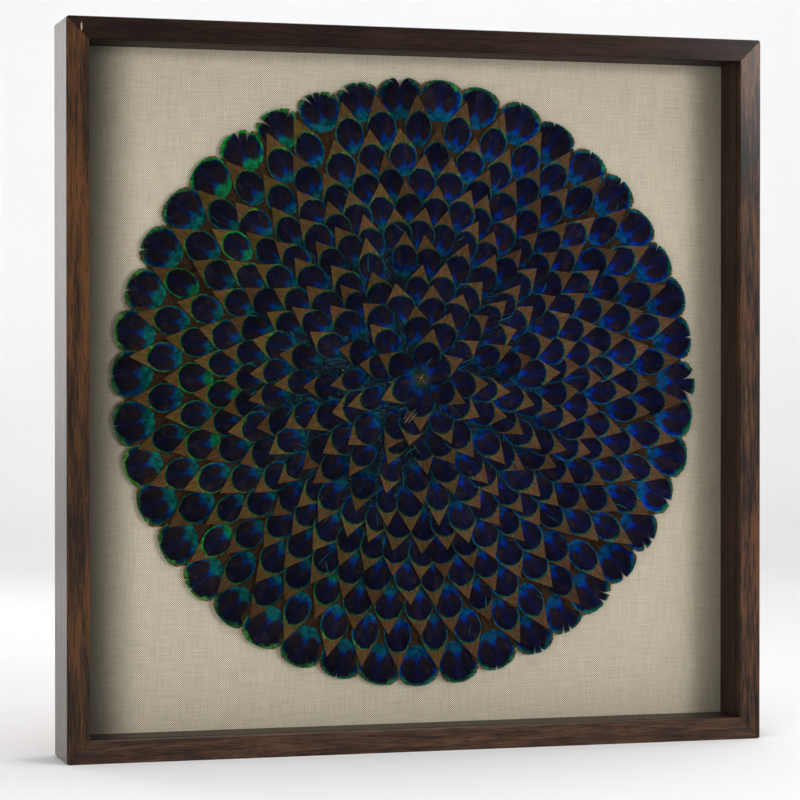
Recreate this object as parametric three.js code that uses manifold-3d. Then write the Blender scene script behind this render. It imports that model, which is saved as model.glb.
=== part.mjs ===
// Framed rosette of trimmed peacock eye feathers, standing on its lower rail.
// Millimetres, +X to the right, +Y to the back, +Z up.
// The origin is the middle of the footprint, on the surface that the frame stands on.

import * as THREE from 'three';
import { mergeVertices } from 'three/addons/utils/BufferGeometryUtils.js';
import Module from 'manifold-3d';

// The frame
const frameSize = 610;
const frameDepth = 61;
const railFace = 19;
const wallThickness = 13;
const lipThickness = 7.4;
const arris = 0.6;
const cornerRadius = 2.5;
const fitGap = 0.3;

// What the rabbet holds, from the front to the back
const glassThickness = 2;
const linenDepth = 43;
const linenThickness = 0.8;
const mountBoardThickness = 6;
const backBoardThickness = 6;
const edgeClearance = 0.5;

// The hardware on the back
const pointLength = 13;
const pointWidth = 8;
const pointThickness = 0.8;
const pointOffset = 170;
const hangerLength = 44;
const hangerHeight = 9.5;
const hangerThickness = 1.1;
const hangerOffset = 190;
const hangerTeeth = 9;
const toothDepth = 1.8;
const nailHeadRadius = 1.9;
const nailHeadHeight = 0.7;
const pocketDepth = 2.2;

// The rosette: rings of feathers from the middle outwards
const ringCounts = [6, 11, 16, 21, 26, 38, 43, 43, 43, 43, 43];
const eyeRadii = [20, 42, 61, 82, 103, 126, 148, 170, 194, 218, 246];
const outerTipReach = 15;
const stemReach = 20;
const rosetteCentre = { x: -1.3, z: 311.3 };
const flowerCentre = { x: 8.6, z: 314.7 };
const rosetteRadius = 261;
const firstAngle = THREE.MathUtils.degToRad(6.5);
const driftAngle = THREE.MathUtils.degToRad(2.1);
const driftStart = THREE.MathUtils.degToRad(40);
const vaneThickness = 0.5;
const vaneRidge = 0.35;
const stemHeight = 0.7;
const vaneSlope = 0.066;
const angleScatter = 0.16;
const radiusScatter = 2.4;

const frontY = -frameDepth / 2;
const backY = frameDepth / 2;
const half = frameSize / 2;
const lipBackY = frontY + lipThickness;
const linenY = frontY + linenDepth;
const insertSize = frameSize - 2 * wallThickness - 2 * edgeClearance;

const wasm = await Module();
wasm.setup();

const finishes = {
  walnut: new THREE.MeshStandardMaterial({ color: 0x4a3423, roughness: 0.45, metalness: 0 }),
  stainedWood: new THREE.MeshStandardMaterial({ color: 0x3a2a20, roughness: 0.6, metalness: 0 }),
  glass: new THREE.MeshStandardMaterial({ color: 0xf4f8f6, roughness: 0.02, metalness: 0, transparent: true, opacity: 0.2 }),
  linen: new THREE.MeshStandardMaterial({ color: 0xb5ad98, roughness: 0.9, metalness: 0 }),
  board: new THREE.MeshStandardMaterial({ color: 0xded8cb, roughness: 0.9, metalness: 0 }),
  plywood: new THREE.MeshStandardMaterial({ color: 0x9a7650, roughness: 0.8, metalness: 0 }),
  steel: new THREE.MeshStandardMaterial({ color: 0xb9b6ad, roughness: 0.35, metalness: 1 }),
  feather: new THREE.MeshStandardMaterial({ color: 0x2b3a63, roughness: 0.5, metalness: 0.2 }),
};

const rosette = new THREE.Group();

function addPiece(name, geometry, material) {
  const mesh = new THREE.Mesh(geometry, material);
  mesh.name = name;
  rosette.add(mesh);
  return mesh;
}

function toSolid(geometry) {
  const bare = geometry.clone();
  bare.deleteAttribute('normal');
  bare.deleteAttribute('uv');
  const merged = mergeVertices(bare, 1e-4);
  return new wasm.Manifold(new wasm.Mesh({
    numProp: 3,
    vertProperties: new Float32Array(merged.attributes.position.array),
    triVerts: new Uint32Array(merged.index.array),
  }));
}

function toGeometry(solid) {
  const mesh = solid.getMesh();
  const geometry = new THREE.BufferGeometry();
  geometry.setAttribute('position', new THREE.BufferAttribute(mesh.vertProperties, 3));
  geometry.setIndex(new THREE.BufferAttribute(mesh.triVerts, 1));
  geometry.computeVertexNormals();
  return geometry;
}

// A bar along X whose section is given as [distance in from the outer face, y].
// Each point of the section runs to the mitre, so the ends slant at 45 degrees.
function mitredBar(section) {
  const shape = new THREE.Shape(section.map(([inward, y]) => new THREE.Vector2(inward, y)));
  const bar = new THREE.ExtrudeGeometry(shape, { depth: 1, bevelEnabled: false });
  const place = bar.attributes.position;
  for (let i = 0; i < place.count; i++) {
    const inward = place.getX(i);
    const reach = half - inward - fitGap / 2;
    place.setXYZ(i, place.getZ(i) > 0.5 ? -reach : reach, place.getY(i), inward - half);
  }
  return bar;
}

// The four sides of the square, each one the lower bar turned about the middle
const sides = [
  { name: 'bottom', turn: 0 },
  { name: 'right', turn: -Math.PI / 2 },
  { name: 'top', turn: Math.PI },
  { name: 'left', turn: Math.PI / 2 },
];

function turnedToSide(geometry, turn) {
  return geometry.clone().rotateY(turn).translate(0, 0, half);
}

function roundedBlock() {
  const outline = new THREE.Shape();
  const straight = half - cornerRadius;
  outline.absarc(straight, straight, cornerRadius, 0, Math.PI / 2);
  outline.absarc(-straight, straight, cornerRadius, Math.PI / 2, Math.PI);
  outline.absarc(-straight, -straight, cornerRadius, Math.PI, 1.5 * Math.PI);
  outline.absarc(straight, -straight, cornerRadius, 1.5 * Math.PI, 2 * Math.PI);
  const block = new THREE.ExtrudeGeometry(outline, { depth: 2 * frameDepth, bevelEnabled: false, curveSegments: 5 });
  return block.rotateX(Math.PI / 2).translate(0, frameDepth, half);
}

function addFrame() {
  const section = [
    [0, frontY + arris],
    [arris, frontY],
    [railFace - arris, frontY],
    [railFace, frontY + arris],
    [railFace, lipBackY],
    [wallThickness, lipBackY],
    [wallThickness, backY],
    [arris, backY],
    [0, backY - arris],
  ];
  const bar = mitredBar(section);
  const block = toSolid(roundedBlock());
  for (const { name, turn } of sides) {
    let rail = toSolid(turnedToSide(bar, turn)).intersect(block);
    if (name === 'top') {
      for (const x of [-hangerOffset, hangerOffset]) {
        rail = rail.subtract(toSolid(hangerPocket(x)));
      }
    }
    addPiece(`rail_${name}`, toGeometry(rail), finishes.walnut);
  }
}

function addSpacers() {
  const glassBackY = lipBackY + fitGap + glassThickness;
  const section = [
    [wallThickness + fitGap, glassBackY + fitGap],
    [railFace, glassBackY + fitGap],
    [railFace, linenY],
    [wallThickness + fitGap, linenY],
  ];
  const bar = mitredBar(section);
  for (const { name, turn } of sides) {
    addPiece(`spacer_${name}`, turnedToSide(bar, turn), finishes.stainedWood);
  }
}

// A square sheet in the rabbet; returns the y of its back
function addSheet(name, startY, thickness, material) {
  const sheet = new THREE.BoxGeometry(insertSize, thickness, insertSize);
  sheet.translate(0, startY + thickness / 2, half);
  addPiece(name, sheet, material);
  return startY + thickness;
}

// Flat steel points pressed into the rail walls behind the back board
function addPoints(startY) {
  const outline = new THREE.Shape();
  outline.moveTo(-pointWidth / 2, 0);
  outline.lineTo(pointWidth / 2, 0);
  outline.lineTo(pointWidth / 2, pointLength - pointWidth / 2);
  outline.lineTo(0, pointLength);
  outline.lineTo(-pointWidth / 2, pointLength - pointWidth / 2);
  const point = new THREE.ExtrudeGeometry(outline, { depth: pointThickness, bevelEnabled: false });
  point.rotateX(Math.PI / 2);
  point.translate(0, startY + pointThickness, wallThickness + fitGap - half);
  for (const { name, turn } of sides) {
    for (const [suffix, x] of [['a', -pointOffset], ['b', pointOffset]]) {
      const placed = turnedToSide(point.clone().translate(x, 0, 0), turn);
      addPiece(`point_${name}_${suffix}`, placed, finishes.steel);
    }
  }
}

function hangerPocket(x) {
  const width = hangerLength + 2 * fitGap;
  const height = hangerHeight + 2 * fitGap;
  const pocket = new THREE.BoxGeometry(width, 2 * pocketDepth, height);
  return pocket.translate(x, backY, frameSize - wallThickness / 2);
}

// A sawtooth hanger: a flat plate with a row of teeth along its lower edge and two nail heads
function hangerPlate(x) {
  const outline = new THREE.Shape();
  const end = hangerLength / 2;
  const toothPitch = (hangerLength * 0.6) / hangerTeeth;
  const toothStart = -(toothPitch * hangerTeeth) / 2;
  outline.moveTo(-end, 0);
  for (let i = 0; i < hangerTeeth; i++) {
    outline.lineTo(toothStart + i * toothPitch, 0);
    outline.lineTo(toothStart + (i + 0.5) * toothPitch, toothDepth);
  }
  outline.lineTo(toothStart + hangerTeeth * toothPitch, 0);
  outline.lineTo(end, 0);
  outline.lineTo(end, hangerHeight);
  outline.lineTo(-end, hangerHeight);
  const plate = new THREE.ExtrudeGeometry(outline, { depth: hangerThickness, bevelEnabled: false });
  const floorY = backY - pocketDepth + fitGap;
  const lowEdge = frameSize - wallThickness / 2 - hangerHeight / 2;
  plate.rotateX(Math.PI / 2).translate(x, floorY + hangerThickness, lowEdge);
  let hanger = toSolid(plate);
  for (const nailX of [-end * 0.84, end * 0.84]) {
    const head = new THREE.CylinderGeometry(nailHeadRadius, nailHeadRadius, 2 * nailHeadHeight, 16);
    head.translate(x + nailX, floorY + hangerThickness, frameSize - wallThickness / 2);
    hanger = hanger.add(toSolid(head));
  }
  return toGeometry(hanger);
}

// Repeatable scatter between -0.5 and 0.5 for one feather of one ring
function scatter(ring, feather, channel) {
  const wave = Math.sin(ring * 127.1 + feather * 311.7 + channel * 74.7) * 4375.85;
  return wave - Math.floor(wave) - 0.5;
}

// Where one ring's feathers lie: clockwise angle of each shaft from straight up, and its reach
function ringLayout(ring) {
  const count = ringCounts[ring];
  const pitch = (2 * Math.PI) / count;
  const share = eyeRadii[ring] / rosetteRadius;
  const centreX = THREE.MathUtils.lerp(flowerCentre.x, rosetteCentre.x, share);
  const centreZ = THREE.MathUtils.lerp(flowerCentre.z, rosetteCentre.z, share);
  const outermost = ring === ringCounts.length - 1;
  const tipReach = outermost ? outerTipReach : eyeRadii[ring + 1] - eyeRadii[ring] + 1;
  const stagger = (ringCounts.length - 1 - ring) % 2 === 0 ? 0 : -pitch / 2;
  const feathers = [];
  for (let i = 0; i < count; i++) {
    const even = firstAngle + stagger + i * pitch;
    const drift = -driftAngle * (1 - Math.cos(even - driftStart));
    feathers.push({
      angle: even + drift + scatter(ring, i, 1) * angleScatter * pitch,
      shift: scatter(ring, i, 2) * radiusScatter,
    });
  }
  return { count, centreX, centreZ, eye: eyeRadii[ring], tipReach, outermost, feathers };
}

// One ring as a thin scalloped shingle: low at the stems, rising to the tips, ridged along each shaft
function ringGeometry(ring) {
  const { count, centreX, centreZ, eye, tipReach, outermost, feathers } = ringLayout(ring);
  const stemRadius = Math.max(eye - stemReach, 1.5);
  const positions = [];
  const put = (radius, angle, lift) => {
    const height = stemHeight + (radius - eye + stemReach) * vaneSlope + lift;
    positions.push(centreX + radius * Math.sin(angle), linenY - height, centreZ + radius * Math.cos(angle));
    return positions.length / 3 - 1;
  };
  // Each feather gives its outline from its own first edge point to the valley before the next feather
  const outline = [];
  const middles = [];
  for (let i = 0; i < count; i++) {
    const { angle, shift } = feathers[i];
    const next = feathers[(i + 1) % count].angle + (i === count - 1 ? 2 * Math.PI : 0);
    const before = feathers[(i + count - 1) % count].angle - (i === 0 ? 2 * Math.PI : 0);
    const valley = (angle + next) / 2;
    const valleyBefore = (angle + before) / 2;
    const tip = eye + tipReach + shift;
    const rim = outermost
      ? [[0.82, 0.55], [0.42, 0.9], [0, 1], [0.42, 0.9], [0.82, 0.55]]
      : [[0, 1]];
    const points = rim.map(([across, reach], k) => {
      const edge = k < rim.length / 2 - 0.5 ? valleyBefore : valley;
      return [eye + 1 + (tip - eye - 1) * reach, THREE.MathUtils.lerp(angle, edge, across)];
    });
    points.push([eye + 1, valley]);
    outline.push(points);
    middles.push([eye + 3, angle]);
  }
  const level = (lift) => outline.map((points) => points.map(([radius, angle]) => put(radius, angle, lift)));
  const upper = level(vaneThickness);
  const lower = level(0);
  const stemsUp = outline.map((points) => put(stemRadius, points[points.length - 1][1], vaneThickness));
  const stemsDown = outline.map((points) => put(stemRadius, points[points.length - 1][1], 0));
  const ridges = middles.map(([radius, angle]) => put(radius, angle, vaneThickness + vaneRidge));
  const faces = [];
  const quad = (a, b, c, d) => faces.push(a, b, c, a, c, d);
  for (let i = 0; i < count; i++) {
    const last = (i + count - 1) % count;
    const up = [upper[last].at(-1), ...upper[i]];
    const down = [lower[last].at(-1), ...lower[i]];
    const steps = up.length - 1;
    const middle = Math.floor(steps / 2);
    for (let k = 0; k < steps; k++) {
      faces.push(ridges[i], up[k + 1], up[k]);
      quad(up[k], up[k + 1], down[k + 1], down[k]);
      faces.push(down[k], down[k + 1], k < middle ? stemsDown[last] : stemsDown[i]);
    }
    faces.push(ridges[i], stemsUp[i], up[steps]);
    faces.push(ridges[i], stemsUp[last], stemsUp[i]);
    faces.push(ridges[i], up[0], stemsUp[last]);
    faces.push(stemsDown[last], down[middle], stemsDown[i]);
    quad(stemsUp[i], stemsUp[last], stemsDown[last], stemsDown[i]);
  }
  const geometry = new THREE.BufferGeometry();
  geometry.setAttribute('position', new THREE.Float32BufferAttribute(positions, 3));
  geometry.setIndex(faces);
  geometry.computeVertexNormals();
  return geometry;
}

function addRings() {
  for (let ring = 0; ring < ringCounts.length; ring++) {
    const number = String(ring + 1).padStart(2, '0');
    addPiece(`feather_ring_${number}`, ringGeometry(ring), finishes.feather);
  }
}

addFrame();
addSheet('glass_pane', lipBackY + fitGap, glassThickness, finishes.glass);
addSpacers();
const linenBackY = addSheet('linen', linenY + fitGap, linenThickness, finishes.linen);
const mountBackY = addSheet('mount_board', linenBackY + fitGap, mountBoardThickness, finishes.board);
const boardBackY = addSheet('back_board', mountBackY + fitGap, backBoardThickness, finishes.plywood);
addPoints(boardBackY + fitGap);
addPiece('hanger_left', hangerPlate(-hangerOffset), finishes.steel);
addPiece('hanger_right', hangerPlate(hangerOffset), finishes.steel);
addRings();

export default rosette;
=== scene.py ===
import math

import bpy
import numpy as np
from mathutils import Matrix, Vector


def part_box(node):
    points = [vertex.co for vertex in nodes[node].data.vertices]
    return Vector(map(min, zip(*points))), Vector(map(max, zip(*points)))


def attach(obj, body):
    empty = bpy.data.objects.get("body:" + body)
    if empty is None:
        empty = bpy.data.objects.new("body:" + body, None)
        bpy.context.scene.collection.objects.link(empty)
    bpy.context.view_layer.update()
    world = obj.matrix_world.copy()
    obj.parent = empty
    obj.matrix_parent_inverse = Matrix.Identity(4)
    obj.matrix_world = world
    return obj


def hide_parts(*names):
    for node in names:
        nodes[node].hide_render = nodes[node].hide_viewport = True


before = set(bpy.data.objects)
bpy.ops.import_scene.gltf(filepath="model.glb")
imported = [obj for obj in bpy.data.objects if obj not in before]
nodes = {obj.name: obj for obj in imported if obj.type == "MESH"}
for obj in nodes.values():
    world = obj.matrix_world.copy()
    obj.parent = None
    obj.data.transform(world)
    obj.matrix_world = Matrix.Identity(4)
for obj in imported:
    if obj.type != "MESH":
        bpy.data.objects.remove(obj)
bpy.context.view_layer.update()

scene = bpy.context.scene
mm = 0.001
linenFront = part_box("linen")[0][1]
print("frame loaded,", len(nodes), "nodes")


# small helpers

def deselectAll():
    if bpy.context.object and bpy.context.object.mode != "OBJECT":
        bpy.ops.object.mode_set(mode="OBJECT")
    bpy.ops.object.select_all(action="DESELECT")


def shade(red, green, blue):
    # a colour given as 0 to 255, turned into the shader's linear values
    def linear(part):
        return part / 12.92 if part < 10 / 255 else ((part + 0.055) / 1.055) ** 2.4
    return tuple(linear(part / 255) for part in (red, green, blue)) + (1.0,)


class NodeBench:
    # adds shader nodes one after another and links whatever it is given
    def __init__(self, name):
        self.material = bpy.data.materials.new(name)
        self.material.use_nodes = True
        self.tree = self.material.node_tree
        self.surface = self.tree.nodes["Principled BSDF"]

    def add(self, kind, inputs=None, **settings):
        node = self.tree.nodes.new(kind)
        for key, value in settings.items():
            setattr(node, key, value)
        for key, value in (inputs or {}).items():
            self.feed(node.inputs[key], value)
        return node

    def feed(self, socket, value):
        if isinstance(value, bpy.types.NodeSocket):
            self.tree.links.new(value, socket)
        else:
            socket.default_value = value

    def calc(self, operation, *values, clamp=False):
        node = self.add("ShaderNodeMath", operation=operation, use_clamp=clamp)
        for socket, value in zip(node.inputs, values):
            self.feed(socket, value)
        return node.outputs[0]

    def ease(self, value, low, high):
        # 0 below low, 1 above high, smooth between; low may be above high
        node = self.add("ShaderNodeMapRange", interpolation_type="SMOOTHSTEP")
        top, bottom = (1.0, 0.0) if low < high else (0.0, 1.0)
        for key, entry in (("Value", value), ("From Min", min(low, high)), ("From Max", max(low, high)),
                           ("To Min", bottom), ("To Max", top)):
            self.feed(node.inputs[key], entry)
        return node.outputs[0]

    def blend(self, factor, first, second, mode="MIX"):
        node = self.add("ShaderNodeMix", data_type="RGBA", blend_type=mode)
        for key, value in ((0, factor), (6, first), (7, second)):
            self.feed(node.inputs[key], value)
        return node.outputs[2]

    def noise(self, vector, scale, detail=3.0, roughness=0.55):
        node = self.add("ShaderNodeTexNoise", {"Vector": vector, "Scale": scale, "Detail": detail,
                                               "Roughness": roughness})
        return node.outputs["Fac"]

    def place(self, scale=(1, 1, 1), shift=(0, 0, 0)):
        # Object coordinates, scaled and shifted
        source = self.add("ShaderNodeTexCoord").outputs["Object"]
        node = self.add("ShaderNodeMapping", {"Vector": source, "Scale": scale, "Location": shift})
        return node.outputs[0]

    def vector(self, operation, *values):
        node = self.add("ShaderNodeVectorMath", dict(enumerate(values)), operation=operation)
        return node.outputs["Value" if operation == "LENGTH" else 0]

    def combine(self, x, y, z):
        return self.add("ShaderNodeCombineXYZ", {"X": x, "Y": y, "Z": z}).outputs[0]

    def separate(self, vector):
        return self.add("ShaderNodeSeparateXYZ", {"Vector": vector}).outputs

    def dim(self, colour, gain):
        # the colour times a plain factor
        return self.blend(1.0, colour, self.combine(gain, gain, gain), mode="MULTIPLY")

    def bump(self, height, strength, distance):
        node = self.add("ShaderNodeBump", {"Height": height, "Strength": strength, "Distance": distance})
        self.tree.links.new(node.outputs[0], self.surface.inputs["Normal"])

    def finish(self, **values):
        for key, value in values.items():
            self.feed(self.surface.inputs[key.replace("_", " ")], value)
        return self.material


def giveMaterial(piece, material):
    piece.data.materials.clear()
    piece.data.materials.append(material)


# camera at the photo's viewpoint: left of the middle, a little below mid height

view = {
    "place": (-0.6770, -2.2794, 0.3168), "turnRight": 16.22, "tiltDown": 0.49,
    "lens": 125.3, "sensor": 36.0, "nearest": 0.05,
}


def placeCamera():
    data = bpy.data.cameras.new("photoCamera")
    data.sensor_fit = "HORIZONTAL"
    data.sensor_width = view["sensor"]
    data.lens = view["lens"]
    data.clip_start = view["nearest"]
    camera = bpy.data.objects.new("photoCamera", data)
    camera.location = view["place"]
    camera.rotation_euler = (math.radians(90 - view["tiltDown"]), 0, -math.radians(view["turnRight"]))
    scene.collection.objects.link(camera)
    scene.camera = camera


placeCamera()
print("camera placed")


# wood of the rails, one finish per rail: the sticks are one walnut, with their tones set apart as painted light
# and shade, the top rail and top spacer darkest and the bottom ones paler

rails = {
    "rail_left": {"along": "Z", "seed": 1.3, "dark": (36, 21, 8), "light": (92, 59, 27), "coat": 0.25,
                  "sheen": 0.3},
    "rail_right": {"along": "Z", "seed": 5.1, "dark": (22, 12, 5), "light": (94, 59, 33), "coat": 0.42},
    "rail_top": {"along": "X", "seed": 8.7, "dark": (26, 16, 11), "light": (50, 32, 21), "coat": 0.14},
    "rail_bottom": {"along": "X", "seed": 12.4, "dark": (52, 35, 26), "light": (88, 62, 45), "coat": 0.35},
    "spacer_left": {"along": "Z", "seed": 3.3, "dark": (44, 30, 22), "light": (66, 47, 36), "coat": 0.15},
    "spacer_right": {"along": "Z", "seed": 6.3, "dark": (50, 36, 29), "light": (74, 56, 46), "coat": 0.15},
    "spacer_top": {"along": "X", "seed": 9.3, "dark": (28, 19, 14), "light": (42, 29, 21), "coat": 0.1},
    "spacer_bottom": {"along": "X", "seed": 4.3, "dark": (42, 30, 23), "light": (62, 46, 36), "coat": 0.3},
}
woodGrain = {
    "long": 10.0, "across": 150.0, "cloud": 9.0, "fine": 4.5, "edges": (0.4, 0.62),
    "cloudShare": 0.3, "pores": 7.0, "poreEdges": (0.56, 0.68), "pore": (24, 15, 9), "poreDepth": 0.75,
    "relief": 0.35, "gloss": 0.42, "glossRange": 0.18, "specular": 0.12, "coatRoughness": 0.2,
}
# a speck of pale filler in the mitre of the left and top rails
filler = {
    "rails": ("rail_left", "rail_top"), "place": (-0.2925, 0.0, 0.6015), "half": (0.0009, 1.0, 0.0042),
    "tone": (176, 158, 136), "cover": 0.8, "outline": (1.1, 0.6), "grain": (0.35, 0.5),
}


def woodFinish(name, stick):
    bench = NodeBench(name + "_wood")
    long, across, cloud = woodGrain["long"], woodGrain["across"], woodGrain["cloud"]
    seed = stick["seed"]
    scale = (long, across, across) if stick["along"] == "X" else (across, across, long)
    place = bench.place(scale=scale, shift=(seed, seed * 0.7, seed * 1.9))
    wander = bench.noise(bench.place(scale=(cloud, cloud, cloud), shift=(seed, 0, 0)), 1.0, 2.0)
    figure = bench.noise(place, 1.0, 6.0, 0.62)
    fine = bench.noise(place, woodGrain["fine"], 3.0, 0.7)
    pores = bench.ease(bench.noise(place, woodGrain["pores"], 2.0, 0.5), *woodGrain["poreEdges"])
    tone = bench.calc("ADD", bench.calc("MULTIPLY", figure, 0.5), bench.calc("MULTIPLY", fine, 0.5))
    clouds = bench.calc("MULTIPLY", bench.calc("SUBTRACT", wander, 0.5), woodGrain["cloudShare"])
    tone = bench.calc("ADD", tone, clouds)
    colour = bench.blend(bench.ease(tone, *woodGrain["edges"]), shade(*stick["dark"]), shade(*stick["light"]))
    darkPore = bench.calc("MULTIPLY", pores, woodGrain["poreDepth"])
    colour = bench.blend(darkPore, colour, shade(*woodGrain["pore"]))
    if name in filler["rails"]:
        away = bench.vector("SUBTRACT", bench.place(), filler["place"])
        away = bench.vector("LENGTH", bench.vector("DIVIDE", away, filler["half"]))
        speck = bench.ease(away, *filler["outline"])
        speck = bench.calc("MULTIPLY", speck, bench.ease(fine, *filler["grain"]))
        colour = bench.blend(bench.calc("MULTIPLY", speck, filler["cover"]), colour, shade(*filler["tone"]))
    height = bench.calc("SUBTRACT", bench.calc("MULTIPLY", fine, 0.5), bench.calc("MULTIPLY", pores, 0.8))
    bench.bump(height, woodGrain["relief"], 0.4 * mm)
    gloss = bench.calc("ADD", woodGrain["gloss"], bench.calc("MULTIPLY", fine, woodGrain["glossRange"]))
    return bench.finish(Base_Color=colour, Roughness=gloss, Specular_IOR_Level=woodGrain["specular"],
                        Coat_Weight=stick["coat"], Coat_Roughness=woodGrain["coatRoughness"],
                        Sheen_Weight=stick.get("sheen", 0.0))


for name, stick in rails.items():
    giveMaterial(nodes[name], woodFinish(name, stick))
print("rails and spacers finished")


# glass, clear and slightly darkening, with no reflection drawn

glassFinish = {"tint": (0.0, 0.0, 0.0, 1.0), "ior": 1.5, "specular": 0.0, "roughness": 0.0, "cover": 0.012}


def finishGlass():
    bench = NodeBench("pictureGlass")
    giveMaterial(nodes["glass_pane"], bench.finish(
        Base_Color=glassFinish["tint"], IOR=glassFinish["ior"], Alpha=glassFinish["cover"],
        Specular_IOR_Level=glassFinish["specular"], Roughness=glassFinish["roughness"]))


finishGlass()
print("glass finished")


# linen, stretched flat over its board

linenCloth = {
    "thread": 1.75 * mm, "thickness": 0.5 * mm, "slack": 0.12 * mm, "cuts": 90,
    "pale": (216, 208, 188), "deep": (128, 120, 104), "shadow": (38, 34, 28),
    "weave": 0.66, "slubs": 0.5, "middle": 0.62, "slubScale": (40, 900), "wobble": 1.6, "wobbleScale": 60.0,
    "relief": 0.6, "roughness": 0.92, "specular": 0.2,
    # edge, where it starts, depth: painted shade on the cloth beside the spacers, most on the left
    "paintedEdgeShade": ((-0.2905, -0.23, 0.9), (0.2905, 0.246, 0.5)),
}


def linenFinish():
    bench = NodeBench("linenWeave")
    place = bench.place()
    split = bench.separate(place)
    turns = 2 * math.pi / linenCloth["thread"]
    wobble = bench.noise(place, linenCloth["wobbleScale"], 3.0)
    wobble = bench.calc("MULTIPLY", wobble, linenCloth["wobble"])
    warp = bench.calc("SINE", bench.calc("ADD", bench.calc("MULTIPLY", split["X"], turns), wobble))
    weft = bench.calc("SINE", bench.calc("ADD", bench.calc("MULTIPLY", split["Z"], turns), wobble))
    over = bench.calc("MULTIPLY", warp, weft)
    along, across = linenCloth["slubScale"]
    slubX = bench.noise(bench.place(scale=(along, 1, across)), 1.0, 3.0)
    slubZ = bench.noise(bench.place(scale=(across, 1, along)), 1.0, 3.0)
    slub = bench.calc("SUBTRACT", bench.calc("ADD", slubX, slubZ), 1.0)
    tone = bench.calc("ADD", bench.calc("MULTIPLY", over, linenCloth["weave"]),
                      bench.calc("MULTIPLY", slub, linenCloth["slubs"]))
    factor = bench.calc("ADD", linenCloth["middle"], tone, clamp=True)
    colour = bench.blend(factor, shade(*linenCloth["deep"]), shade(*linenCloth["pale"]))
    # painted shade: the cloth is darkened towards its left and right edges, where the rails' shadow falls
    for edge, start, depth in linenCloth["paintedEdgeShade"]:
        share = bench.calc("MULTIPLY", bench.ease(split["X"], start, edge), depth)
        colour = bench.blend(share, colour, shade(*linenCloth["shadow"]))
    bench.bump(bench.calc("ADD", over, slub), linenCloth["relief"], 0.3 * mm)
    return bench.finish(Base_Color=colour, Roughness=linenCloth["roughness"],
                        Specular_IOR_Level=linenCloth["specular"])


def makeLinen():
    low, high = (Vector(corner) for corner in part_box("linen"))
    size = high.x - low.x
    deselectAll()
    middle = ((low.x + high.x) / 2, low.y, (low.z + high.z) / 2)
    bpy.ops.mesh.primitive_grid_add(x_subdivisions=linenCloth["cuts"], y_subdivisions=linenCloth["cuts"],
                                    size=size, location=middle, rotation=(math.pi / 2, 0, 0))
    cloth = bpy.context.object
    cloth.name = "linen_cloth"
    bpy.ops.object.transform_apply(location=True, rotation=True, scale=True)
    # the cloth dips a hair between the threads that pull it tight
    for vertex in cloth.data.vertices:
        x, z = vertex.co.x, vertex.co.z
        dip = math.sin(x * 31 + math.sin(z * 17)) * math.sin(z * 27 + math.sin(x * 13) * 1.3)
        vertex.co.y += linenCloth["slack"] * (1 + dip) / 2
    thickness = cloth.modifiers.new("cloth", "SOLIDIFY")
    thickness.thickness = linenCloth["thickness"]
    thickness.offset = -1
    bpy.ops.object.modifier_apply(modifier="cloth")
    bpy.ops.object.shade_smooth_by_angle(angle=math.radians(30))
    giveMaterial(cloth, linenFinish())
    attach(cloth, "root")
    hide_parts("linen")
    return cloth


makeLinen()
print("linen stretched")


# feathers

rosette = {
    "counts": [6, 11, 16, 21, 26, 38, 43, 43, 43, 43, 43],
    "eyeRadii": [20, 42, 61, 82, 103, 126, 148, 170, 194, 218, 246],
    "centre": (-1.3, 311.3), "flower": (8.6, 314.7), "radius": 261.0,
    "firstAngle": 6.5, "drift": 2.1, "driftStart": 40.0,
    "angleScatter": 0.16, "radiusScatter": 2.4,
    "stemReach": 20.0, "stemHeight": 0.7, "slope": 0.066, "lift": 0.45, "lowest": 0.25,
    # how far each ring's feathers stray, and by how much for each: shares of the pitch, mm, degrees
    "wildness": [1.6, 2.2, 2.2, 2.0, 1.8, 1.5, 1.3, 1.2, 1.0, 1.0, 0.8], "tame": 0.8,
    "strayAngle": 0.4, "strayRadius": 6.2, "strayReach": 4.0, "straySize": 0.14, "straySkew": 19.0,
    "roll": 2.2, "strayRoll": 3.0, "curl": 0.35, "outerReach": 15.0,
}

# blades, in mm from the eye's middle: half width at the rim, reach of the tip, end of the lower barbs;
# then how many chance slits, how wide, and how uneven the barbs' ends are
blades = {
    "pointed": {"columns": 104, "rows": 6, "rim": 12.7, "tip": 26.0, "stemEnd": -36.0, "root": -3.0,
                "slits": 2.2, "opening": 0.6, "fray": 0.014},
    "rounded": {"columns": 132, "rows": 7, "rim": 18.2, "tip": 15.2, "stemEnd": -40.0, "root": -3.4,
                "slits": 2.6, "opening": 1.1, "fray": 0.04, "shoulder": 4.0, "roundness": 2.2,
                "partingScale": 1.35, "partingReach": 17.4, "partingFrom": 2.0},
}

eyeMap = 80.0  # mm across the map that says where a point lies on the eye

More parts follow.
